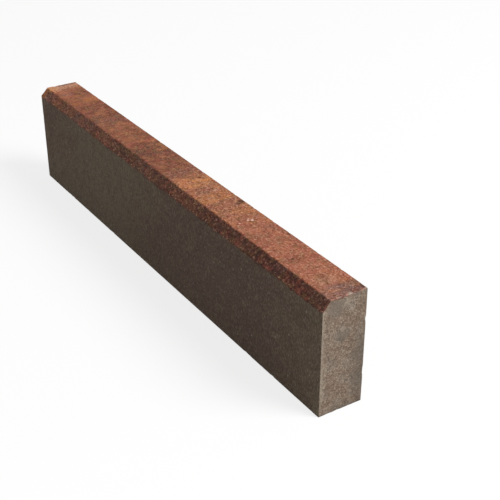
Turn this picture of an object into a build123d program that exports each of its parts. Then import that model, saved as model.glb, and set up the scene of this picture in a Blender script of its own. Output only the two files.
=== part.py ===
from build123d import *
import os

# Kerb stone of pressed concrete, standing on its narrow base as it is laid.
# It is one casting: a long upright block whose upper front arris is cut back to
# a 45 degree chamfer along its whole length. The other arrises are only
# softened, as they leave the mould, so that the stones don't spall when they
# are butted end to end.
#
# Millimetres. X runs along the kerb, Y across it with the chamfer in front
# at -Y, and Z up. The origin is the centre of the base.

# Block
length = 1000.0
width = 80.0
height = 200.0

# Chamfer, the same measured across the top and down the front
chamfer_leg = 15.0

# Rounding of the arrises
chamfer_arris_radius = 3.0
back_arris_radius = 2.0
base_arris_radius = 1.5
end_arris_radius = 1.2


with BuildPart() as kerb_stone:
    # The cross-section lies in the left end's plane. In the sketch, X runs
    # across the kerb and Y up it.
    with BuildSketch(Plane.YZ.offset(-length / 2)) as section:
        Rectangle(width, height, align=(Align.CENTER, Align.MIN))

        front_top = section.vertices().group_by(Axis.Y)[-1].sort_by(Axis.X)[0]
        chamfer(front_top, length=chamfer_leg)

        chamfer_corners = (
            section.vertices()
            .filter_by_position(Axis.X, -width / 2, chamfer_leg - width / 2)
            .filter_by_position(Axis.Y, height - chamfer_leg, height)
        )
        fillet(chamfer_corners, radius=chamfer_arris_radius)

        back_top = section.vertices().group_by(Axis.Y)[-1].sort_by(Axis.X)[-1]
        fillet(back_top, radius=back_arris_radius)

        base_corners = section.vertices().group_by(Axis.Y)[0]
        fillet(base_corners, radius=base_arris_radius)

    extrude(amount=length)

    # Both end faces keep their full section and get a softened rim
    left_rim = kerb_stone.faces().sort_by(Axis.X)[0].edges()
    right_rim = kerb_stone.faces().sort_by(Axis.X)[-1].edges()
    fillet(left_rim + right_rim, radius=end_arris_radius)

kerb_stone.part.label = "kerb_stone"

os.makedirs("parts", exist_ok=True)
export_step(kerb_stone.part, "parts/kerb_stone.step")
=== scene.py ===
import math
from collections import namedtuple

import bpy
import numpy as np
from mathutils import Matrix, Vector, noise


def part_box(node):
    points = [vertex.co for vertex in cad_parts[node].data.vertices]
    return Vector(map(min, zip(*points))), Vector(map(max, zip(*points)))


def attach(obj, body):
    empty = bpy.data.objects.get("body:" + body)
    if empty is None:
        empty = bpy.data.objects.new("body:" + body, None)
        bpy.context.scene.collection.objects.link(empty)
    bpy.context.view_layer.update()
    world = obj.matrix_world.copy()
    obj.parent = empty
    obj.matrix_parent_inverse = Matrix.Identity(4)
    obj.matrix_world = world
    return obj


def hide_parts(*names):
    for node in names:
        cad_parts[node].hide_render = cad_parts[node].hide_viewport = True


# Kerb stone of pressed concrete with a pigmented wearing face.
#
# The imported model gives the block's size. This script casts the same block again as one dense
# mesh, with the small damage that such a stone gets in the yard, and finishes it in one
# material: blended pigments on the wearing face, dark moulded sides and paler, coarser ends.
#
# Metres. X runs along the kerb, Y across it with the chamfer in front at -Y, and Z up.

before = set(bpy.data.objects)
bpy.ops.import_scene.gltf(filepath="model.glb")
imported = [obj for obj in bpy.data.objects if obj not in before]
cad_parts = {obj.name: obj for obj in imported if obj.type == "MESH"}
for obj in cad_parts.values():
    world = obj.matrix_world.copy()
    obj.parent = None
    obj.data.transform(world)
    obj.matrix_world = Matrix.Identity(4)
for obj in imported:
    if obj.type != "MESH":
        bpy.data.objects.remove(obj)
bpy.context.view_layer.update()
node_low, node_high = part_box("kerb_stone")

MM = 0.001

# Block, from the frame
length = node_high[0] - node_low[0]
width = node_high[1] - node_low[1]
height = node_high[2] - node_low[2]
front = -width / 2
back = width / 2

# Chamfer and arrises, the same as in the model
chamfer_leg = 15 * MM
chamfer_arris_radius = 3 * MM
back_arris_radius = 2 * MM
base_arris_radius = 1.5 * MM
end_arris_radius = 1.2 * MM

# The corners of the section, which run along the kerb as its arrises: the sharp corner as
# (y, z), the radius that softens it, its cells, and how it is chipped, by the number of chips
# in a metre and their greatest depth and half length
Arris = namedtuple("Arris", "corner radius cells chips chip_depth chip_half")
ARRISES = [
    Arris((front, 0.0), base_arris_radius, 4, 16, 0.8 * MM, 8 * MM),
    Arris((back, 0.0), base_arris_radius, 4, 16, 0.8 * MM, 8 * MM),
    Arris((back, height), back_arris_radius, 6, 55, 0.9 * MM, 6 * MM),
    Arris((front + chamfer_leg, height), chamfer_arris_radius, 3, 30, 0.5 * MM, 7 * MM),
    Arris((front, height - chamfer_leg), chamfer_arris_radius, 4, 45, 0.7 * MM, 6 * MM),
]

# Cells of the mesh: how many across each side, along the kerb and round a rim, and the finest
base_cells = 44
chamfer_cells = 9
side_cells = 36
along_cells = 470
rim_cells = 3
finest_cell = 0.6 * MM

# Unevenness of the casting, all of it inwards
wave_depth = 0.15 * MM
wave_size = 70 * MM
grain_depth = 0.12 * MM
grain_size = 4 * MM
flaw_depth = 0.9 * MM
top_pits = 46
end_pits = 14

# Chips of the end rims: how many in a metre, their greatest depth and half length, and the
# share of that depth which they have lower down
rim_chips = 80
rim_chip_depth = 1.7 * MM
rim_chip_half = 6 * MM
low_rim_share = 0.75

# How far a surface is broken back where it shows nothing but bare concrete
bare_depth = 0.6 * MM

# Dark flaws of the top, as (centre, radius)
FLAWS = [
    ((0.053, 0.022), 3.5 * MM),
    ((0.171, 0.034), 5.0 * MM),
    ((0.175, 0.026), 4.0 * MM),
    ((0.306, 0.036), 3.5 * MM),
    ((0.374, -0.004), 3.0 * MM),
    ((-0.436, 0.030), 3.0 * MM),
    ((0.492, 0.036), 4.0 * MM),
    ((0.487, 0.037), 3.0 * MM),
]


# Mesh

def graded(span, cells, fine, reach):
    """Places from 0 to span in so many cells, which grow from fine at both ends to their full
    size over reach."""
    samples = 4001
    halvings = 60
    place = np.linspace(0, span, samples)
    nearest_end = np.minimum(place, span - place)
    smallest, largest = fine, span

    def count(coarse):
        size = fine + (coarse - fine) * np.minimum(1, nearest_end / reach)
        return np.concatenate([[0], np.cumsum(np.diff(place) / ((size[1:] + size[:-1]) / 2))])

    for _ in range(halvings):
        middle = (smallest + largest) / 2
        if count(middle)[-1] > cells:
            smallest = middle
        else:
            largest = middle
    passed = count(largest)
    return np.interp(np.linspace(0, passed[-1], cells + 1), passed, place)


def turn_at(i):
    """A corner of the section, the directions into it and out of it, and the angle between."""
    before, corner, after = (
        np.array(ARRISES[k % len(ARRISES)].corner) for k in (i - 1, i, i + 1)
    )
    incoming = (corner - before) / np.linalg.norm(corner - before)
    outgoing = (after - corner) / np.linalg.norm(after - corner)
    return corner, incoming, outgoing, math.acos(float(incoming @ outgoing))


def rounded_corner(i):
    """Points and outward normals round a corner of the section."""
    corner, incoming, _, turn = turn_at(i)
    radius = ARRISES[i].radius
    normal = np.array([incoming[1], -incoming[0]])
    centre = corner - incoming * radius * math.tan(turn / 2) - normal * radius
    angle = np.linspace(0, turn, ARRISES[i].cells + 1)[:, None]
    normals = np.cos(angle) * normal + np.sin(angle) * incoming
    return centre + normals * radius, normals


def straight_side(start, end, cells, fine, reach):
    """Points between two ends of a straight side, without the ends, and their normals."""
    along = (end - start) / np.linalg.norm(end - start)
    steps = graded(np.linalg.norm(end - start), cells, fine, reach)[1:-1]
    points = start + steps[:, None] * along
    normals = np.tile([along[1], -along[0]], (len(points), 1))
    return points, normals


def section_outline():
    """The section as a closed loop that starts in the middle of the base's front arris and runs
    along the base, up the back, over the top and down the front. Returns its points, its
    normals, and how many cells each pair of facing sides has."""
    arcs = [rounded_corner(i) for i in range(len(ARRISES))]
    half_arc = ARRISES[0].cells // 2
    across = base_cells + 2 * half_arc
    up = half_arc + side_cells + ARRISES[2].cells // 2
    top_cells = across - ARRISES[2].cells // 2 - ARRISES[3].cells - chamfer_cells - half_arc
    front_cells = up - 2 * half_arc
    # For each side: its cells, the finest of them, and how far from an arris they grow
    gradings = [
        (base_cells, finest_cell, 6 * MM),
        (side_cells, finest_cell, 14 * MM),
        (top_cells, 0.7 * MM, 5 * MM),
        (chamfer_cells, 1.0 * MM, 4 * MM),
        (front_cells, finest_cell, 14 * MM),
    ]
    sides = [
        straight_side(arcs[i][0][-1], arcs[(i + 1) % len(arcs)][0][0], *gradings[i])
        for i in range(len(arcs))
    ]
    points = np.concatenate([part[0] for pair in zip(arcs, sides) for part in pair])
    normals = np.concatenate([part[1] for pair in zip(arcs, sides) for part in pair])
    return np.roll(points, -half_arc, axis=0), np.roll(normals, -half_arc, axis=0), across, up


def stations():
    """Places along the kerb, each with how far the section is drawn in there and how far the
    normal leans out of the section, for the softened rim of both ends."""
    lean = np.linspace(math.pi / 2, 0, rim_cells + 1)
    rim_x = length / 2 - end_arris_radius * (1 - np.sin(lean))
    rim_inset = end_arris_radius * (1 - np.cos(lean))
    body = graded(length - 2 * end_arris_radius, along_cells, finest_cell, 8 * MM)
    body = body - body[-1] / 2
    x = np.concatenate([-rim_x, body[1:-1], rim_x[::-1]])
    inset = np.concatenate([rim_inset, np.zeros(len(body) - 2), rim_inset[::-1]])
    lean = np.concatenate([-lean, np.zeros(len(body) - 2), lean[::-1]])
    return x, inset, lean


def sides_of(ring, across, up):
    """A ring of the section as its four sides, each from the low or front end upwards or
    backwards: the base, the back, the top with the chamfer, and the front."""
    closed = np.concatenate([ring, ring[:1]])
    base = closed[: across + 1]
    back_side = closed[across : across + up + 1]
    top = closed[across + up : 2 * across + up + 1][::-1]
    front_side = closed[2 * across + up :][::-1]
    return base, back_side, top, front_side


def filled_cap(ring, across, up):
    """Fills a ring of the section with a grid that follows the ring on all four sides."""
    base, back_side, top, front_side = sides_of(ring, across, up)
    s = ((base[:, 0] - base[0, 0]) / (base[-1, 0] - base[0, 0]))[:, None, None]
    t = ((back_side[:, 1] - back_side[0, 1]) / (back_side[-1, 1] - back_side[0, 1]))[None, :, None]
    between_levels = (1 - t) * base[:, None] + t * top[:, None]
    between_faces = (1 - s) * front_side[None] + s * back_side[None]
    corners = (
        (1 - s) * (1 - t) * base[0]
        + s * (1 - t) * base[-1]
        + (1 - s) * t * top[0]
        + s * t * top[-1]
    )
    return between_levels + between_faces - corners


class Cast:
    """The block as one closed surface: its points, their outward directions, how broken the
    surface is at each, the faces between them, and where each face lies on a flat sheet."""

    def __init__(self):
        self.outline, self.outline_normals, across, up = section_outline()
        steps = np.linalg.norm(np.diff(self.outline, axis=0, append=self.outline[:1]), axis=1)
        self.run = np.concatenate([[0], np.cumsum(steps)])
        x, inset, lean = stations()
        rings, index = self.make_sides(x, inset, lean)
        for station, side in ((0, -1), (-1, 1)):
            self.make_end(x[station], side, rings[station], index[station], across, up)
        self.broken = np.zeros(len(self.points))

    def make_sides(self, x, inset, lean):
        """The four long sides with the chamfer and both rims, ring by ring along the kerb."""
        count = len(self.outline)
        rings = [self.outline - self.outline_normals * drawn_in for drawn_in in inset]
        self.points = np.concatenate([
            np.column_stack([np.full(count, place), ring]) for place, ring in zip(x, rings)
        ])
        self.outward = np.concatenate([
            np.column_stack([
                np.full(count, math.sin(tilt)), self.outline_normals * math.cos(tilt),
            ])
            for tilt in lean
        ])
        index = np.arange(len(x) * count).reshape(len(x), count)
        this, following = index, np.roll(index, -1, axis=1)
        self.faces = np.stack([this[:-1], following[:-1], following[1:], this[1:]], -1)
        self.faces = self.faces.reshape(-1, 4)
        place = np.stack(np.meshgrid(x + length / 2, self.run, indexing="ij"), -1)
        self.sheet = np.stack([place[:-1, :-1], place[:-1, 1:], place[1:, 1:], place[1:, :-1]], 2)
        self.sheet = self.sheet.reshape(-1, 4, 2)
        return rings, index

    def make_end(self, x, side, ring, ring_index, across, up):
        """The flat face of one end, inside the last ring of its rim."""
        grid = filled_cap(ring, across, up)
        inside = grid[1:-1, 1:-1].reshape(-1, 2)
        index = np.empty((across + 1, up + 1), int)
        index[1:-1, 1:-1] = len(self.points) + np.arange(len(inside)).reshape(across - 1, up - 1)
        index[:, 0], index[-1], index[:, -1], index[0] = sides_of(ring_index, across, up)

        def corners(a):
            four = np.stack([a[:-1, :-1], a[1:, :-1], a[1:, 1:], a[:-1, 1:]], 2)
            four = four if side > 0 else four[:, :, ::-1]
            return four.reshape(-1, *four.shape[2:])

        beyond_the_strip = self.run[-1] + width
        lying = np.stack([grid[..., 1] + (1 + side) * height, grid[..., 0] + beyond_the_strip], -1)
        self.points = np.concatenate([
            self.points, np.column_stack([np.full(len(inside), x), inside]),
        ])
        self.outward = np.concatenate([self.outward, np.tile([side, 0, 0], (len(inside), 1))])
        self.faces = np.concatenate([self.faces, corners(index)])
        self.sheet = np.concatenate([self.sheet, corners(lying)])


def noise_at(points, size, offset=0.0):
    """Smooth noise from -1 to 1 with bumps of about this size."""
    shift = Vector((offset, offset * 0.7, -offset * 1.3))
    return np.array([noise.noise(Vector(p) / size + shift) for p in points])


def chip_profile(u, span, rng, per_metre, most_depth, most_half):
    """Depth of the chips along an arris at the places u, from a number of chips of uneven size."""
    depth = np.zeros(len(u))
    for _ in range(int(span * per_metre)):
        centre = rng.uniform(u.min(), u.max())
        half = most_half * rng.uniform(0.25, 1.0) ** 1.5
        deep = most_depth * rng.uniform(0.15, 1.0) ** 2
        share = np.clip(1 - ((u - centre) / half) ** 2, 0, 1)
        depth = np.maximum(depth, deep * share)
    return depth


def break_off(cast, near, out, stand, rounding, depth, seed):
    """Pushes what stands out past a broken surface back to it, square to the surface."""
    grain = np.abs(noise_at(cast.points[near], 3 * MM, seed)) * 0.25 * MM
    allowed = -rounding - depth - grain
    move = np.where(depth > 0, np.maximum(stand - allowed, 0), 0)
    cast.points[near] -= move[:, None] * out
    cast.broken[near] = np.maximum(cast.broken[near], move / bare_depth)


def chip_long_arris(cast, i, rng):
    """Breaks crumbs off an arris along the kerb."""
    arris = ARRISES[i]
    corner, incoming, outgoing, turn = turn_at(i)
    out = np.array([incoming[1] + outgoing[1], -incoming[0] - outgoing[0]])
    out = out / np.linalg.norm(out)
    rounding = arris.radius * (1 / math.cos(turn / 2) - 1)
    stand = (cast.points[:, 1:] - corner) @ out
    near = np.flatnonzero(stand > -rounding - 1.2 * arris.chip_depth - 0.3 * MM)
    depth = chip_profile(
        cast.points[near, 0], length, rng, arris.chips, arris.chip_depth, arris.chip_half,
    )
    break_off(cast, near, np.array([0, *out]), stand[near], rounding, depth, seed=5)


def chip_end_rim(cast, side, rng):
    """Breaks crumbs off the rim of one end, most of them at the top."""
    from_end = length / 2 - cast.points[:, 0] * side
    near = np.flatnonzero(from_end < 3 * rim_chip_depth)
    across = cast.points[near, 1:]
    gap = np.linalg.norm(across[:, None] - cast.outline[None], axis=2)
    nearest = gap.argmin(axis=1)
    inside = ((cast.outline[nearest] - across) * cast.outline_normals[nearest]).sum(axis=1)
    out = np.column_stack([np.full(len(near), float(side)), cast.outline_normals[nearest]])
    out = out / math.sqrt(2)
    stand = -(from_end[near] + inside) / math.sqrt(2)
    rounding = end_arris_radius * (math.sqrt(2) - 1)
    depth = chip_profile(
        cast.run[nearest], cast.run[-1], rng, rim_chips, rim_chip_depth, rim_chip_half,
    )
    under_top = height - cast.points[near, 2]
    depth *= np.interp(under_top, [4 * MM, 14 * MM], [1, low_rim_share])
    break_off(cast, near, out, stand, rounding, depth, seed=9)


def press_in(cast, depth):
    """Moves the surface inwards by a depth for each point. The base stays flat."""
    above_base = np.clip(cast.points[:, 2] / (2 * MM), 0, 1)
    cast.points -= cast.outward * (depth * above_base)[:, None]


def dig_pits(cast, rng, count, where, most_radius, most_depth):
    """Small round pits where a crumb or an air bubble left the surface."""
    depth = np.zeros(len(cast.points))
    for point in rng.choice(np.flatnonzero(where), count, replace=False):
        radius = most_radius * rng.uniform(0.4, 1.0)
        deep = most_depth * rng.uniform(0.4, 1.0)
        away = np.linalg.norm(cast.points - cast.points[point], axis=1)
        depth = np.maximum(depth, deep * np.clip(1 - (away / radius) ** 2, 0, 1))
    press_in(cast, depth)


def in_flaws(points):
    """How deep in a flaw of the top each point is, from 0 to 1 in a flaw's middle."""
    share = np.zeros(len(points))
    for centre, radius in FLAWS:
        away = np.linalg.norm(points[:, :2] - centre, axis=1)
        share = np.maximum(share, np.clip(1.3 - away / radius, 0, 1))
    return share * np.clip(1 - (height - points[:, 2]) / (4 * MM), 0, 1)


def weather(cast):
    """All the unevenness of the casting, inwards only, so that the block keeps its size."""
    rng = np.random.default_rng(seed=7)
    up = cast.outward[:, 2]
    on_end = np.abs(cast.outward[:, 0])
    press_in(cast, flaw_depth * in_flaws(cast.points))
    wave = wave_depth * (1 + noise_at(cast.points, wave_size))
    grain = grain_depth * (1 + noise_at(cast.points, grain_size, offset=3))
    press_in(cast, wave + np.where((up > 0.5) & (on_end < 0.5), grain, 0))
    dig_pits(cast, rng, top_pits, up > 0.9, most_radius=3.2 * MM, most_depth=0.9 * MM)
    dig_pits(cast, rng, end_pits, on_end > 0.99, most_radius=2.6 * MM, most_depth=0.7 * MM)
    for i in range(len(ARRISES)):
        chip_long_arris(cast, i, rng)
    for side in (-1, 1):
        chip_end_rim(cast, side, rng)


def kerb_mesh():
    """The block as one closed Blender mesh, laid out flat in one map. Its attributes say which
    points are on an end and where the surface is broken."""
    cast = Cast()
    on_end = np.abs(cast.outward[:, 0]) > 0.9
    weather(cast)
    mesh = bpy.data.meshes.new("kerb_stone_cast")
    mesh.from_pydata(cast.points.tolist(), [], cast.faces.tolist())
    for name, share in {"end_face": on_end, "broken": cast.broken}.items():
        layer = mesh.attributes.new(name, "FLOAT", "POINT")
        layer.data.foreach_set("value", np.clip(share, 0, 1).astype(np.float32))
    margin = 0.01
    flat = cast.sheet.reshape(-1, 2)
    flat = (flat - flat.min(axis=0)) / np.ptp(flat, axis=0)
    layout = mesh.uv_layers.new(name="OFBake")
    layout.uv.foreach_set("vector", (margin + (1 - 2 * margin) * flat).astype(np.float32).ravel())
    mesh.polygons.foreach_set("use_smooth", [True] * len(mesh.polygons))
    mesh.update()
    print("kerb mesh", len(mesh.vertices), "vertices", len(mesh.polygons) * 2, "triangles")
    return mesh


# Materials

def linear(red, green, blue):
    """A colour as it is seen on a screen, from 0 to 255, as the light values that shaders use."""
    parts = [c / 255 for c in (red, green, blue)]
    return tuple(c / 12.92 if c <= 0.04045 else ((c + 0.055) / 1.055) ** 2.4 for c in parts) + (1,)


# Pigments of the wearing face
TERRACOTTA = linear(144, 86, 61)
RED_BROWN = linear(99, 51, 37)
CHAMFER_BROWN = linear(96, 59, 48)
ROSE = linear(150, 78, 62)
CORAL = linear(166, 97, 73)
SALMON = linear(194, 122, 92)
OCHRE = linear(196, 123, 66)
SAND = linear(204, 154, 124)
PALE_OCHRE = linear(220, 154, 92)
OLIVE = linear(116, 88, 52)
UMBER = linear(64, 43, 33)
PLUM = linear(104, 68, 62)
SLATE = linear(92, 76, 74)
GREY_ROSE = linear(138, 110, 105)
DARK_RED = linear(54, 27, 24)

# Grain of the wearing face
PALE_CRUMB = linear(212, 163, 139)
DARK_CRUMB = linear(98, 44, 20)
CHAMFER_DARK_CRUMB = linear(60, 24, 12)
# Brown of the flaws, also used as painted shade inside the left-hand end's rim
FLAW_AND_RIM_SHADE_BROWN = linear(70, 38, 26)
KNOCKED_GRIT = linear(234, 200, 180)

# Concrete
MOULDED_OLIVE = linear(110, 95, 75)
MOULDED_PLUM = linear(92, 70, 59)
MOULDED_RUST = linear(94, 71, 54)
END_BROWN = linear(124, 104, 88)
END_GREY = linear(130, 115, 101)
END_SMOOTH = linear(111, 101, 91)
PALE_SKIN = linear(168, 156, 140)
PALE_GRIT = linear(206, 192, 172)
# Dark grit, also used as painted shade on the ends and along the sides' left-hand edge
DARK_GRIT_AND_SHADE = linear(58, 48, 42)

# Middle of the stretch of the top that is yellower than the rest
ochre_middle = 0.14

# Clouds of pigment on the top: the pigment, where its middle is along and across the kerb, its
# radius and how much of it there is. A cloud with only one number for its place is a band that
# reaches right across.
TOP_CLOUDS = [
    (OLIVE, (-0.412, 0.014), 0.016, 0.60),
    (OCHRE, (-0.385, 0.026), 0.020, 0.45),
    (OCHRE, (-0.380, -0.012), 0.011, 0.70),
    (RED_BROWN, -0.200, 0.220, 0.40),
    (RED_BROWN, -0.436, 0.018, 0.90),
    (ROSE, (-0.436, -0.008), 0.022, 0.85),
    (GREY_ROSE, (-0.438, -0.006), 0.014, 0.50),
    (RED_BROWN, -0.315, 0.058, 0.95),
    (UMBER, (-0.284, -0.012), 0.020, 0.45),
    (PLUM, -0.262, 0.020, 0.60),
    (PLUM, (-0.255, -0.008), 0.020, 0.75),
    (SALMON, (-0.228, 0.016), 0.017, 0.35),
    (RED_BROWN, -0.140, 0.034, 0.75),
    (ROSE, (-0.133, 0.024), 0.013, 0.85),
    (ROSE, (-0.145, -0.012), 0.013, 0.75),
    (UMBER, -0.090, 0.034, 0.96),
    (UMBER, (-0.086, 0.024), 0.022, 0.60),
    (ROSE, (-0.052, 0.028), 0.010, 0.60),
    (RED_BROWN, -0.030, 0.050, 0.90),
    (PLUM, 0.022, 0.017, 0.75),
    (OCHRE, 0.066, 0.020, 0.95),
    (PALE_OCHRE, (0.074, 0.010), 0.016, 0.75),
    (SALMON, (0.060, -0.012), 0.017, 0.45),
    (SALMON, 0.118, 0.018, 0.35),
    (PLUM, (0.104, -0.002), 0.014, 0.50),
    (SAND, (0.110, 0.021), 0.008, 0.55),
    (OCHRE, 0.134, 0.017, 0.65),
    (UMBER, (0.175, 0.034), 0.012, 0.75),
    (OCHRE, (0.200, 0.021), 0.014, 0.85),
    (CORAL, 0.340, 0.140, 0.75),
    (PLUM, (0.270, 0.030), 0.013, 0.45),
    (SALMON, (0.325, -0.006), 0.019, 0.40),
    (RED_BROWN, (0.370, -0.004), 0.015, 0.50),
    (PLUM, (0.425, 0.032), 0.012, 0.40),
    (SAND, (0.452, 0.000), 0.018, 0.50),
    (GREY_ROSE, 0.492, 0.025, 0.96),
    (SLATE, (0.475, 0.004), 0.012, 0.60),
    (SLATE, (0.486, 0.018), 0.018, 0.85),
    (OLIVE, (0.474, 0.031), 0.011, 0.60),
    (PLUM, (0.490, -0.012), 0.018, 0.60),
    (PLUM, (0.494, 0.030), 0.012, 0.60),
]

# The same on the chamfer, where all of them are bands
CHAMFER_CLOUDS = [
    (GREY_ROSE, -0.400, 0.130, 0.28),
    (GREY_ROSE, -0.475, 0.030, 0.70),
    (SALMON, -0.500, 0.022, 0.70),
    (ROSE, -0.462, 0.014, 0.40),
    (TERRACOTTA, -0.428, 0.024, 0.90),
    (OLIVE, -0.400, 0.010, 0.60),
    (TERRACOTTA, -0.365, 0.024, 0.60),
    (SLATE, -0.335, 0.013, 0.55),
    (ROSE, -0.312, 0.010, 0.35),
    (SLATE, -0.270, 0.013, 0.50),
    (TERRACOTTA, -0.215, 0.026, 0.30),
    (UMBER, -0.105, 0.060, 0.85),
    (SLATE, -0.055, 0.022, 0.40),
    (UMBER, 0.010, 0.030, 0.50),
    (DARK_RED, 0.056, 0.022, 0.45),
    (TERRACOTTA, 0.090, 0.016, 0.30),
    (DARK_RED, 0.210, 0.070, 0.65),
    (UMBER, 0.268, 0.022, 0.55),
    (DARK_RED, 0.345, 0.055, 0.95),
    (SLATE, 0.372, 0.009, 0.25),
    (DARK_RED, 0.415, 0.036, 0.90),
    (UMBER, 0.474, 0.016, 0.85),
]

# Grit that has been knocked pale on the top, and the chips along its right-hand rim
TOP_SPOTS = [
    (KNOCKED_GRIT, (0.237, 0.013), 0.0026, 0.80),
    (KNOCKED_GRIT, (0.234, 0.007), 0.0022, 0.70),
    (KNOCKED_GRIT, (0.230, 0.010), 0.0018, 0.65),
    (KNOCKED_GRIT, (0.236, -0.010), 0.0018, 0.50),
    (SAND, (0.111, 0.019), 0.0034, 0.40),
    (PALE_SKIN, (0.4995, 0.009), 0.0042, 0.85),
    (PALE_SKIN, (0.4995, -0.010), 0.0026, 0.45),
    (PALE_SKIN, (0.5000, 0.039), 0.0036, 0.85),
]

# Broad changes of tone on the sides. The first number of a place is half its distance along the
# kerb, since these clouds are twice as long as they are high, and the second is up from the base.
SIDE_CLOUDS = [
    (MOULDED_RUST, (-0.248, 0.140), 0.080, 0.90),
    (MOULDED_PLUM, (0.015, 0.060), 0.080, 0.65),
    (MOULDED_PLUM, (0.120, 0.100), 0.140, 0.95),
    (MOULDED_OLIVE, (0.225, 0.100), 0.060, 0.30),
]

# Where the right-hand end has a smoother skin: the middle across the kerb and up from the base,
# the radius and how smooth it is
SMOOTH_PATCHES = [
    ((-0.002, 0.134), 0.014, 0.50),
    ((-0.016, 0.182), 0.018, 0.50),
    ((0.032, 0.090), 0.020, 0.35),
    ((0.034, 0.050), 0.024, 0.35),
]

# Pale and dark smears on the same end
END_MARKS = [
    (PALE_SKIN, (0.003, 0.1865), 0.0045, 0.50),
    (PALE_SKIN, (-0.001, 0.1450), 0.0045, 0.40),
    (DARK_GRIT_AND_SHADE, (-0.004, 0.1250), 0.0060, 0.25),
]


class Shader:
    """The nodes of a material or of the world, with one short call for each kind that is used
    here. A value may be a number, a colour or another node's output."""

    def __init__(self, owner):
        owner.use_nodes = True
        self.tree = owner.node_tree
        self.tree.nodes.clear()

    def node(self, kind, **settings):
        made = self.tree.nodes.new(kind)
        for name, value in settings.items():
            setattr(made, name, value)
        return made

    def put(self, socket, value):
        if isinstance(value, bpy.types.NodeSocket):
            self.tree.links.new(value, socket)
        else:
            socket.default_value = value

    def fill(self, made, *values):
        """Puts values into a node's first sockets and returns its first output."""
        for socket, value in zip(made.inputs, values):
            self.put(socket, value)
        return made.outputs[0]

    def math(self, operation, a, b=0.0):
        return self.fill(self.node("ShaderNodeMath", operation=operation), a, b)

    def add(self, first, *others):
        for other in others:
            first = self.math("ADD", first, other)
        return first

    def times(self, a, b):
        return self.math("MULTIPLY", a, b)

    def vector_math(self, operation, a, b):
        return self.fill(self.node("ShaderNodeVectorMath", operation=operation), a, b)

    def distance(self, a, b):
        made = self.node("ShaderNodeVectorMath", operation="DISTANCE")
        self.fill(made, a, b)
        return made.outputs["Value"]

    def scaled(self, vector, factor):
        made = self.node("ShaderNodeVectorMath", operation="SCALE")
        self.put(made.inputs["Vector"], vector)
        self.put(made.inputs["Scale"], factor)
        return made.outputs[0]

    def split(self, vector):
        made = self.node("ShaderNodeSeparateXYZ")
        self.put(made.inputs[0], vector)
        return made.outputs

    def vector(self, x, y, z):
        return self.fill(self.node("ShaderNodeCombineXYZ"), x, y, z)

    def attribute(self, name):
        return self.node("ShaderNodeAttribute", attribute_name=name).outputs["Fac"]

    def noise_node(self, place, size, detail, roughness):
        made = self.node("ShaderNodeTexNoise")
        self.put(made.inputs["Vector"], place)
        self.put(made.inputs["Scale"], 1 / size)
        self.put(made.inputs["Detail"], detail)
        self.put(made.inputs["Roughness"], roughness)
        return made.outputs

    def noise(self, place, size, detail=2.0, roughness=0.5):
        return self.noise_node(place, size, detail, roughness)["Fac"]

    def stirred(self, place, size, reach):
        """The same place pushed about by noise, so that what is laid there has ragged edges."""
        parts = self.node("ShaderNodeSeparateColor")
        self.put(parts.inputs[0], self.noise_node(place, size, 4, 0.65)["Color"])
        push = self.vector_math("SUBTRACT", self.vector(*parts.outputs), (0.5, 0.5, 0.5))
        return self.vector_math("ADD", place, self.scaled(push, reach))

    def grains(self, place, size):
        """Cells of this size: how far a point is from its cell's middle, and a random number
        for the cell."""
        made = self.node("ShaderNodeTexVoronoi")
        self.put(made.inputs["Vector"], place)
        self.put(made.inputs["Scale"], 1 / size)
        random = self.node("ShaderNodeSeparateColor")
        return made.outputs["Distance"], self.fill(random, made.outputs["Color"])

    def fade(self, value, start, end, low=0.0, high=1.0):
        """Goes smoothly from low at start to high at end."""
        made = self.node("ShaderNodeMapRange", interpolation_type="SMOOTHSTEP")
        return self.fill(made, value, start, end, low, high)

    def mix(self, share, a, b):
        made = self.node("ShaderNodeMix", data_type="RGBA")
        self.put(made.inputs["Factor"], share)
        self.put(made.inputs[6], a)
        self.put(made.inputs[7], b)
        return made.outputs[2]

    def blend(self, share, a, b):
        """The same for plain numbers."""
        made = self.node("ShaderNodeMix", data_type="FLOAT")
        self.put(made.inputs["Factor"], share)
        self.put(made.inputs[2], a)
        self.put(made.inputs[3], b)
        return made.outputs[0]

    def grained(self, colour, noise, pale, pale_share, dark, dark_share):
        """Lays paler grain over a colour where a noise is high, and darker where it is low."""
        colour = self.mix(self.fade(noise, 0.50, 0.67, 0.0, pale_share), colour, pale)
        return self.mix(self.fade(noise, 0.50, 0.33, 0.0, dark_share), colour, dark)

    def clouds(self, place, colour, clouds):
        """Lays clouds over a colour. The place is a vector of two numbers and a nought."""
        line = self.vector_math("MULTIPLY", place, (1, 0, 0))
        for tint, centre, radius, most in clouds:
            if isinstance(centre, tuple):
                away = self.distance(place, (*centre, 0))
            else:
                away = self.distance(line, (centre, 0, 0))
            colour = self.mix(self.fade(away, 1.3 * radius, 0.5 * radius, 0.0, most), colour, tint)
        return colour


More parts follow.
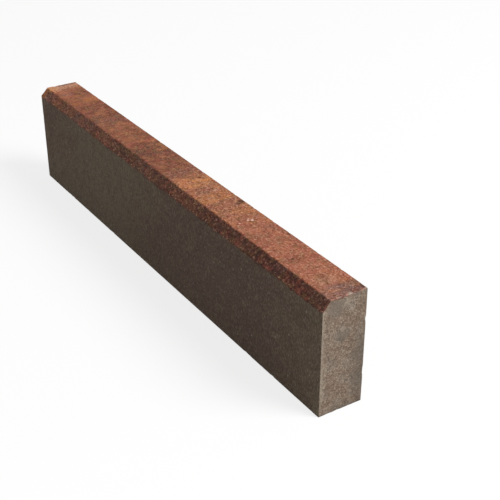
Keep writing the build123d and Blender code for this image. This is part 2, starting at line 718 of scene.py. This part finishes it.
def pigments(s, place, on_chamfer, in_ochre):
    """Pigments that ran into each other, in clouds and in streaks across the kerb. The chamfer
    is duller and redder."""
    x, y, z = s.split(place)
    stirred = s.stirred(s.stirred(place, 40 * MM, 34 * MM), 7 * MM, 12 * MM)
    stirred = s.vector_math("MULTIPLY", stirred, (1, 1, 0))
    across = s.vector(x, s.times(y, 0.2), s.times(z, 0.2))
    streak = s.noise(across, 7 * MM, 4, 0.65)
    other_streak = s.noise(s.vector_math("ADD", across, (3, 0, 0)), 11 * MM, 4, 0.65)

    top = s.clouds(stirred, TERRACOTTA, TOP_CLOUDS)
    top = s.mix(s.fade(streak, 0.52, 0.72, 0.0, 0.55), top, OCHRE)
    top = s.mix(s.fade(other_streak, 0.52, 0.72, 0.0, 0.60), top, RED_BROWN)
    top = s.mix(s.times(in_ochre, s.fade(other_streak, 0.48, 0.34, 0.0, 0.55)), top, PLUM)
    top = s.mix(s.times(in_ochre, s.fade(streak, 0.48, 0.34, 0.0, 0.55)), top, PALE_OCHRE)

    chamfer = s.clouds(stirred, CHAMFER_BROWN, CHAMFER_CLOUDS)
    chamfer = s.mix(s.fade(streak, 0.52, 0.72, 0.0, 0.50), chamfer, DARK_RED)
    chamfer = s.mix(s.fade(other_streak, 0.52, 0.72, 0.0, 0.50), chamfer, UMBER)
    return s.mix(on_chamfer, top, chamfer)


def tinted(s, place, colour, on_chamfer):
    """Makes some of the grain more orange, redder or more olive, but little of it at the grey
    right-hand end."""
    x, _, _ = s.split(place)
    hue = s.noise(place, 14 * MM, 2, 0.5)
    other_hue = s.noise(s.vector_math("ADD", place, (7, 0, 0)), 12 * MM, 2, 0.5)
    most = s.fade(x, 0.482, 0.458, 0.3, 1.0)
    orange_share = s.times(most, s.blend(on_chamfer, s.fade(x, 0.42, 0.22, 0.10, 0.28), 0.08))
    other_share = s.times(most, 0.55)
    colour = s.mix(s.fade(hue, 0.48, 0.34, 0.0, orange_share), colour, OCHRE)
    colour = s.mix(s.fade(hue, 0.50, 0.66, 0.0, other_share), colour, ROSE)
    return s.mix(s.fade(other_hue, 0.50, 0.66, 0.0, other_share), colour, OLIVE)


def worn_rim(s, place, colour, mottle, on_chamfer):
    """Wears the left-hand end's rim pale, further in towards the chamfer and more orange there."""
    x, y, _ = s.split(place)
    reach = s.fade(y, -0.022, 0.014, 36 * MM, 28 * MM)
    reach = s.times(reach, s.fade(mottle, 0.35, 0.65, 0.6, 1.4))
    reach = s.times(reach, s.fade(y, -0.034, -0.024, 0.45, 1.0))
    worn = s.fade(s.math("SUBTRACT", reach, s.add(x, length / 2)), -2 * MM, 12 * MM)
    worn = s.times(worn, s.blend(on_chamfer, 0.90, 0.75))
    worn_top = s.mix(s.fade(y, -0.004, -0.024, 0.0, 0.7), SAND, PALE_OCHRE)
    return s.mix(worn, colour, s.mix(on_chamfer, worn_top, OCHRE))


def crushed_grain(s, place, colour, mottle, fine, coarse, on_chamfer, in_ochre):
    """Lays patches, crumbs and specks over the pigments, paler and darker than they are. Crumbs
    show more on the right-hand half of the top and on the left-hand half of the chamfer, and
    most of all along the left-hand rim."""
    x, _, _ = s.split(place)
    right_half = s.fade(x, -0.03, 0.04)
    clear = s.blend(on_chamfer, s.blend(right_half, 0.72, 1.30), s.blend(right_half, 1.45, 1.05))
    clear = s.times(clear, s.fade(x, -0.455, -0.480, s.blend(in_ochre, 1.0, 1.3), 1.7))
    dark_crumb = s.mix(on_chamfer, DARK_CRUMB, CHAMFER_DARK_CRUMB)

    patch = s.noise(place, 15 * MM, 3, 0.6)
    pale_patch = s.mix(in_ochre, SALMON, OCHRE)
    pale_share = s.blend(on_chamfer, 0.32, 0.15)
    dark_share = s.blend(on_chamfer, 0.45, 0.30)
    colour = s.grained(colour, patch, pale_patch, pale_share, dark_crumb, dark_share)

    pale_share = s.times(clear, s.blend(on_chamfer, 0.46, 0.26))
    dark_share = s.times(clear, s.blend(on_chamfer, 0.60, 0.85))
    colour = s.grained(colour, mottle, PALE_CRUMB, pale_share, dark_crumb, dark_share)
    pale_share = s.times(pale_share, 0.45)
    dark_share = s.times(dark_share, 0.55)
    fine = s.fade(fine, 0, 1, 0.40, 0.60)
    colour = s.grained(colour, fine, PALE_CRUMB, pale_share, dark_crumb, dark_share)
    colour = s.mix(s.fade(coarse, 0.955, 0.965, 0.0, s.times(clear, 0.25)), colour, PALE_CRUMB)
    return s.mix(s.fade(coarse, 0.045, 0.035, 0.0, s.times(clear, 0.50)), colour, dark_crumb)


def painted_rim_shade(s, place):
    """Painted shade: a dark line just inside the left-hand end's rim, away from the chamfer, for the
    rounded rim turned from the light.
    """
    x, y, _ = s.split(place)
    from_end = s.add(x, length / 2)
    from_shade_line = s.math("ABSOLUTE", s.math("SUBTRACT", from_end, 5 * MM))
    return s.times(s.fade(from_shade_line, 3.5 * MM, 1.5 * MM), s.fade(y, -0.006, 0.002))


def foot_crumbs(s, place):
    """Pale crumbs that show along the chamfer's lower arris."""
    _, y, z = s.split(place)
    away = s.distance(s.vector(0.0, y, z), (0, front, height - chamfer_leg))
    near = s.fade(away, 4.5 * MM, 1.5 * MM)
    to_middle, random = s.grains(place, 3.2 * MM)
    crumb = s.times(s.fade(random, 0.55, 0.65), s.fade(to_middle, 0.55, 0.35))
    gathered = s.fade(s.noise(place, 30 * MM), 0.42, 0.60)
    return s.times(s.times(near, crumb), gathered)


def marked(s, place, colour, on_chamfer):
    """Lays the single marks over the grain: the painted shade inside the left-hand rim, the crumbs,
    the flaws and knocked grit.
    """
    # Painted shade just inside the left-hand end's rim
    colour = s.mix(s.times(painted_rim_shade(s, place), 0.60), colour, FLAW_AND_RIM_SHADE_BROWN)
    colour = s.mix(s.times(foot_crumbs(s, place), 0.70), colour, PALE_CRUMB)
    spots = s.vector_math("MULTIPLY", s.stirred(place, 4 * MM, 5 * MM), (1, 1, 0))
    spotted = s.clouds(spots, colour, [(FLAW_AND_RIM_SHADE_BROWN, *flaw, 0.92) for flaw in FLAWS])
    spotted = s.clouds(spots, spotted, TOP_SPOTS)
    return s.mix(on_chamfer, spotted, colour)


def wearing_face(s, place):
    """The pigmented layer of the top and the chamfer. Returns its colour, height and
    roughness."""
    x, _, z = s.split(place)
    on_chamfer = s.fade(z, height - 0.6 * MM, height - 2.2 * MM)
    from_ochre = s.math("ABSOLUTE", s.math("SUBTRACT", x, ochre_middle))
    in_ochre = s.fade(from_ochre, 0.11, 0.07)
    mottle = s.noise(place, 4 * MM, 5, 0.72)
    _, coarse = s.grains(place, 2.6 * MM)
    _, fine = s.grains(place, 1.3 * MM)

    colour = pigments(s, place, on_chamfer, in_ochre)
    colour = tinted(s, place, colour, on_chamfer)
    colour = worn_rim(s, place, colour, mottle, on_chamfer)
    colour = crushed_grain(s, place, colour, mottle, fine, coarse, on_chamfer, in_ochre)
    colour = marked(s, place, colour, on_chamfer)
    relief = s.add(s.times(fine, 0.3), s.times(coarse, 0.3), s.times(mottle, 1.2))
    return colour, relief, s.fade(fine, 0, 1, 0.82, 0.96)


def moulded_side(s, place):
    """Smooth dark concrete that stood against the mould, with a little light grit in it, and a strip
    of painted shade along its left-hand edge, for the rounded arris in shade. Returns its colour,
    height and roughness."""
    x, y, z = s.split(place)
    stirred_x, _, stirred_z = s.split(s.stirred(place, 90 * MM, 130 * MM))
    face = s.vector(s.times(stirred_x, 0.5), stirred_z, 0.0)
    colour = s.clouds(face, MOULDED_OLIVE, SIDE_CLOUDS)
    upright = s.vector(x, y, s.times(z, 0.6))
    mottle = s.noise(upright, 3.0 * MM, 4, 0.72)
    patch = s.noise(place, 12 * MM, 4, 0.6)
    to_middle, random = s.grains(s.vector_math("MULTIPLY", place, (1, 1, 0.8)), 6.0 * MM)
    _, fine = s.grains(place, 1.5 * MM)
    colour = s.grained(colour, patch, PALE_SKIN, 0.08, DARK_GRIT_AND_SHADE, 0.22)
    tint = s.noise(s.vector_math("ADD", place, (5, 0, 0)), 16 * MM, 2, 0.6)
    colour = s.mix(s.fade(tint, 0.50, 0.66, 0.0, 0.50), colour, MOULDED_OLIVE)
    colour = s.mix(s.fade(tint, 0.50, 0.34, 0.0, 0.50), colour, MOULDED_PLUM)
    colour = s.grained(colour, mottle, PALE_SKIN, 0.34, DARK_GRIT_AND_SHADE, 0.64)
    colour = s.grained(colour, s.fade(fine, 0, 1, 0.42, 0.58), PALE_SKIN, 0.18, DARK_GRIT_AND_SHADE, 0.30)
    rare = s.blend(s.fade(x, 0.0, 0.3), 0.985, 0.955)
    grit = s.times(s.fade(random, rare, s.add(rare, 0.01)), s.fade(to_middle, 0.36, 0.08))
    colour = s.mix(s.times(grit, 0.45), colour, PALE_GRIT)
    pore = s.times(s.fade(random, 0.05, 0.03), s.fade(to_middle, 0.3, 0.1))
    colour = s.mix(s.times(pore, 0.7), colour, DARK_GRIT_AND_SHADE)
    # Painted shade along the left-hand edge, for the rounded arris turned from the light
    from_left = s.add(x, length / 2)
    colour = s.mix(s.fade(from_left, 4 * MM, 2 * MM, 0.0, 0.8), colour, DARK_GRIT_AND_SHADE)
    relief = s.add(s.times(mottle, 0.6), s.times(fine, 0.12), s.times(pore, -0.8))
    return colour, relief, s.fade(patch, 0.3, 0.7, 0.74, 0.86)


def smooth_skin(s, face):
    """How smooth the skin of the right-hand end is, from its patches."""
    smooth = 0.0
    for centre, radius, most in SMOOTH_PATCHES:
        away = s.distance(face, (*centre, 0))
        smooth = s.math("MAXIMUM", smooth, s.fade(away, 1.3 * radius, 0.5 * radius, 0.0, most))
    return smooth


def painted_shade_share(s, y, z):
    """Painted shade: how much an end is darkened, as the shadow of a neighbouring stone towards its
    back arris and as shade towards its foot.
    """
    neighbour_shadow_at_back = s.times(s.fade(y, -0.004, 0.036), s.fade(z, 0.155, 0.105))
    shade_at_foot = s.times(s.fade(z, 26 * MM, 2 * MM), s.fade(y, front + 8 * MM, 0.010))
    return s.times(s.math("MAXIMUM", neighbour_shadow_at_back, shade_at_foot), 0.34)


def struck_end(s, place):
    """Paler and coarser concrete of the ends, gritty, with a smoother skin in places and along
    the arris in front. Returns its colour, height and roughness."""
    x, y, z = s.split(place)
    from_right = s.math("SUBTRACT", length / 2, x)
    _, stirred_y, stirred_z = s.split(s.stirred(place, 12 * MM, 12 * MM))
    face = s.vector(s.add(stirred_y, from_right), stirred_z, 0.0)
    patch = s.noise(place, 30 * MM, 3, 0.6)
    colour = s.mix(s.fade(patch, 0.38, 0.62), END_GREY, END_BROWN)
    mottle = s.noise(place, 3.0 * MM, 4, 0.75)
    to_middle, random = s.grains(place, 2.3 * MM)
    _, fine = s.grains(place, 1.3 * MM)
    rough = s.math("SUBTRACT", 1.0, smooth_skin(s, face))
    broad = s.noise(place, 11 * MM, 3, 0.6)
    colour = s.grained(colour, broad, PALE_GRIT, 0.12, DARK_GRIT_AND_SHADE, 0.20)
    colour = s.grained(colour, mottle, PALE_GRIT, 0.42, DARK_GRIT_AND_SHADE, 0.60)
    colour = s.grained(colour, s.fade(fine, 0, 1, 0.42, 0.58), PALE_GRIT, 0.20, DARK_GRIT_AND_SHADE, 0.30)
    colour = s.mix(s.fade(rough, 1.0, 0.2, 0.0, 0.8), colour, END_SMOOTH)
    colour = s.clouds(face, colour, END_MARKS)
    gathered = s.fade(s.noise(place, 22 * MM), 0.42, 0.58, 0.965, 0.885)
    grit = s.times(s.fade(random, gathered, s.add(gathered, 0.01)), s.fade(to_middle, 0.5, 0.2))
    grit = s.times(grit, rough)
    colour = s.mix(s.times(grit, 0.75), colour, PALE_GRIT)
    pore = s.times(s.times(s.fade(random, 0.09, 0.07), s.fade(to_middle, 0.4, 0.15)), rough)
    colour = s.mix(s.times(pore, 0.75), colour, DARK_GRIT_AND_SHADE)
    skin = s.times(s.fade(y, front + 7 * MM, front + 2 * MM), s.fade(mottle, 0.35, 0.6, 0.2, 0.6))
    colour = s.mix(skin, colour, PALE_SKIN)
    # Painted shade on the end: a neighbour's shadow towards the back arris, and shade towards the foot
    colour = s.mix(painted_shade_share(s, stirred_y, stirred_z), colour, DARK_GRIT_AND_SHADE)
    # Painted contact shade: a dark band along the foot of the end
    colour = s.mix(s.fade(z, 5 * MM, 1 * MM, 0.0, 0.35), colour, DARK_GRIT_AND_SHADE)
    relief = s.add(s.times(mottle, rough), s.times(fine, 0.3), s.times(pore, -0.9), s.times(grit, 0.6))
    return colour, relief, s.fade(mottle, 0.3, 0.7, 0.82, 0.95)


def over(s, share, below, above):
    """Lays one finish over another: colour, height and roughness together."""
    return (
        s.mix(share, below[0], above[0]),
        s.blend(share, below[1], above[1]),
        s.blend(share, below[2], above[2]),
    )


def layer_share(s, place):
    """Where the pigmented layer is: on all that faces upwards, and beside it down to a ragged
    edge a few millimetres below the top and the chamfer."""
    _, y, z = s.split(place)
    under_top = s.math("SUBTRACT", height, z)
    above_chamfer_line = s.math("SUBTRACT", s.add(y, height - chamfer_leg - front), z)
    under_chamfer = s.times(above_chamfer_line, math.sqrt(0.5))
    under = s.math("MINIMUM", under_top, under_chamfer)
    wide = s.fade(s.noise(place, 16 * MM, 2), 0.35, 0.70, 0.4 * MM, 2.6 * MM)
    narrow = s.fade(s.noise(place, 4 * MM, 4, 0.7), 0.35, 0.65, -0.6 * MM, 1.6 * MM)
    ragged = s.math("MAXIMUM", s.add(wide, narrow), 0.3 * MM)
    beside = s.fade(s.math("SUBTRACT", under, ragged), 0.15 * MM, -0.25 * MM)
    normal_up = s.split(s.node("ShaderNodeTexCoord").outputs["Normal"])[2]
    return s.math("MAXIMUM", beside, s.fade(normal_up, 0.45, 0.60))


def kerb_concrete():
    """One casting, so one material: the ends over the sides, the pigmented layer over both, and
    bare concrete where an arris has broken away."""
    material = bpy.data.materials.new("kerb_concrete")
    s = Shader(material)
    place = s.node("ShaderNodeTexCoord").outputs["Object"]
    finish = over(s, s.attribute("end_face"), moulded_side(s, place), struck_end(s, place))
    finish = over(s, layer_share(s, place), finish, wearing_face(s, place))
    broken = s.fade(s.attribute("broken"), 0.3, 1.0, 0.0, 0.45)

    bump = s.node("ShaderNodeBump")
    bump.inputs["Strength"].default_value = 0.9
    bump.inputs["Distance"].default_value = 0.8 * MM
    s.put(bump.inputs["Height"], finish[1])

    shader = s.node("ShaderNodeBsdfPrincipled")
    shader.inputs["Specular IOR Level"].default_value = 0.25
    s.put(shader.inputs["Base Color"], s.mix(broken, finish[0], PALE_SKIN))
    s.put(shader.inputs["Roughness"], finish[2])
    s.put(shader.inputs["Normal"], bump.outputs["Normal"])
    s.put(s.node("ShaderNodeOutputMaterial").inputs["Surface"], shader.outputs[0])
    return material


# Studio

def camera_ray_share(s):
    """1 for what the camera sees directly, in a mirror or through glass, else 0."""
    path = s.node("ShaderNodeLightPath").outputs
    share = s.math("MAXIMUM", path["Is Camera Ray"], path["Is Glossy Ray"])
    return s.math("MAXIMUM", share, path["Is Transmission Ray"])


def floor_material():
    """A pale floor that shows white and keeps a soft shadow."""
    material = bpy.data.materials.new("studio_floor")
    s = Shader(material)
    seen = camera_ray_share(s)
    ground = s.node("ShaderNodeBsdfDiffuse")
    s.put(ground.inputs["Color"], s.mix(seen, (0.50, 0.50, 0.50, 1), (0.95, 0.95, 0.95, 1)))
    glow = s.node("ShaderNodeEmission")
    glow.inputs["Strength"].default_value = 1.0
    lit = s.node("ShaderNodeMixShader")
    s.fill(lit, s.times(seen, 0.80), ground.outputs[0], glow.outputs[0])
    s.put(s.node("ShaderNodeOutputMaterial").inputs["Surface"], lit.outputs[0])
    return material


def make_floor(reach):
    """A level floor that runs this far out on all sides."""
    mesh = bpy.data.meshes.new("studio_floor")
    corners = [(-reach, -reach, 0), (reach, -reach, 0), (reach, reach, 0), (-reach, reach, 0)]
    mesh.from_pydata(corners, [], [(0, 1, 2, 3)])
    floor = bpy.data.objects.new("studio_floor", mesh)
    floor.data.materials.append(floor_material())
    bpy.context.collection.objects.link(floor)


def make_world(ambient):
    """A plain sky that shows white and lights the stone at this strength."""
    world = bpy.data.worlds.new("studio")
    bpy.context.scene.world = world
    s = Shader(world)
    sky = s.node("ShaderNodeBackground")
    s.put(sky.inputs["Strength"], s.blend(camera_ray_share(s), ambient, 1.0))
    s.put(sky.inputs["Color"], (1, 1, 1, 1))
    s.put(s.node("ShaderNodeOutputWorld").inputs["Surface"], sky.outputs[0])


def aim(thing, place, target):
    """Puts a lamp or camera at a place and turns it to a target."""
    thing.location = place
    thing.rotation_mode = "QUATERNION"
    thing.rotation_quaternion = (Vector(target) - Vector(place)).to_track_quat("-Z", "Y")


def from_target(target, azimuth, elevation, distance):
    """The place seen from a target in a direction: azimuth 0 is in front of the chamfered side,
    and 90 is off the right-hand end."""
    a, e = math.radians(azimuth), math.radians(elevation)
    out = Vector((math.sin(a) * math.cos(e), -math.cos(a) * math.cos(e), math.sin(e)))
    return Vector(target) + out * distance


def make_lamp(name, azimuth, elevation, distance, size, power):
    """A round lamp that is turned to the middle of the stone."""
    lamp = bpy.data.lights.new(name, "AREA")
    lamp.shape = "DISK"
    lamp.size = size
    lamp.energy = power
    thing = bpy.data.objects.new(name, lamp)
    bpy.context.collection.objects.link(thing)
    middle = (0, 0, height / 2)
    aim(thing, from_target(middle, azimuth, elevation, distance), middle)


def make_camera(target, azimuth, elevation, distance, lens):
    """The camera that takes the picture, with its lens in millimetres."""
    camera = bpy.data.cameras.new("camera")
    camera.sensor_width = 36
    camera.lens = lens
    thing = bpy.data.objects.new("camera", camera)
    bpy.context.collection.objects.link(thing)
    aim(thing, from_target(target, azimuth, elevation, distance), target)
    bpy.context.scene.camera = thing


make_camera(
    target=(0.1675, 0.0532, 0.1), azimuth=57.36, elevation=29.255, distance=1.7773, lens=74.83,
)
make_floor(reach=30.0)
make_world(ambient=0.30)
make_lamp("key", azimuth=125, elevation=44, distance=8.0, size=4.4, power=700)

kerb = bpy.data.objects.new("kerb_stone_cast", kerb_mesh())
kerb.data.materials.append(kerb_concrete())
bpy.context.collection.objects.link(kerb)
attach(kerb, "root")
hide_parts("kerb_stone")

bpy.context.scene.view_settings.view_transform = "Standard"
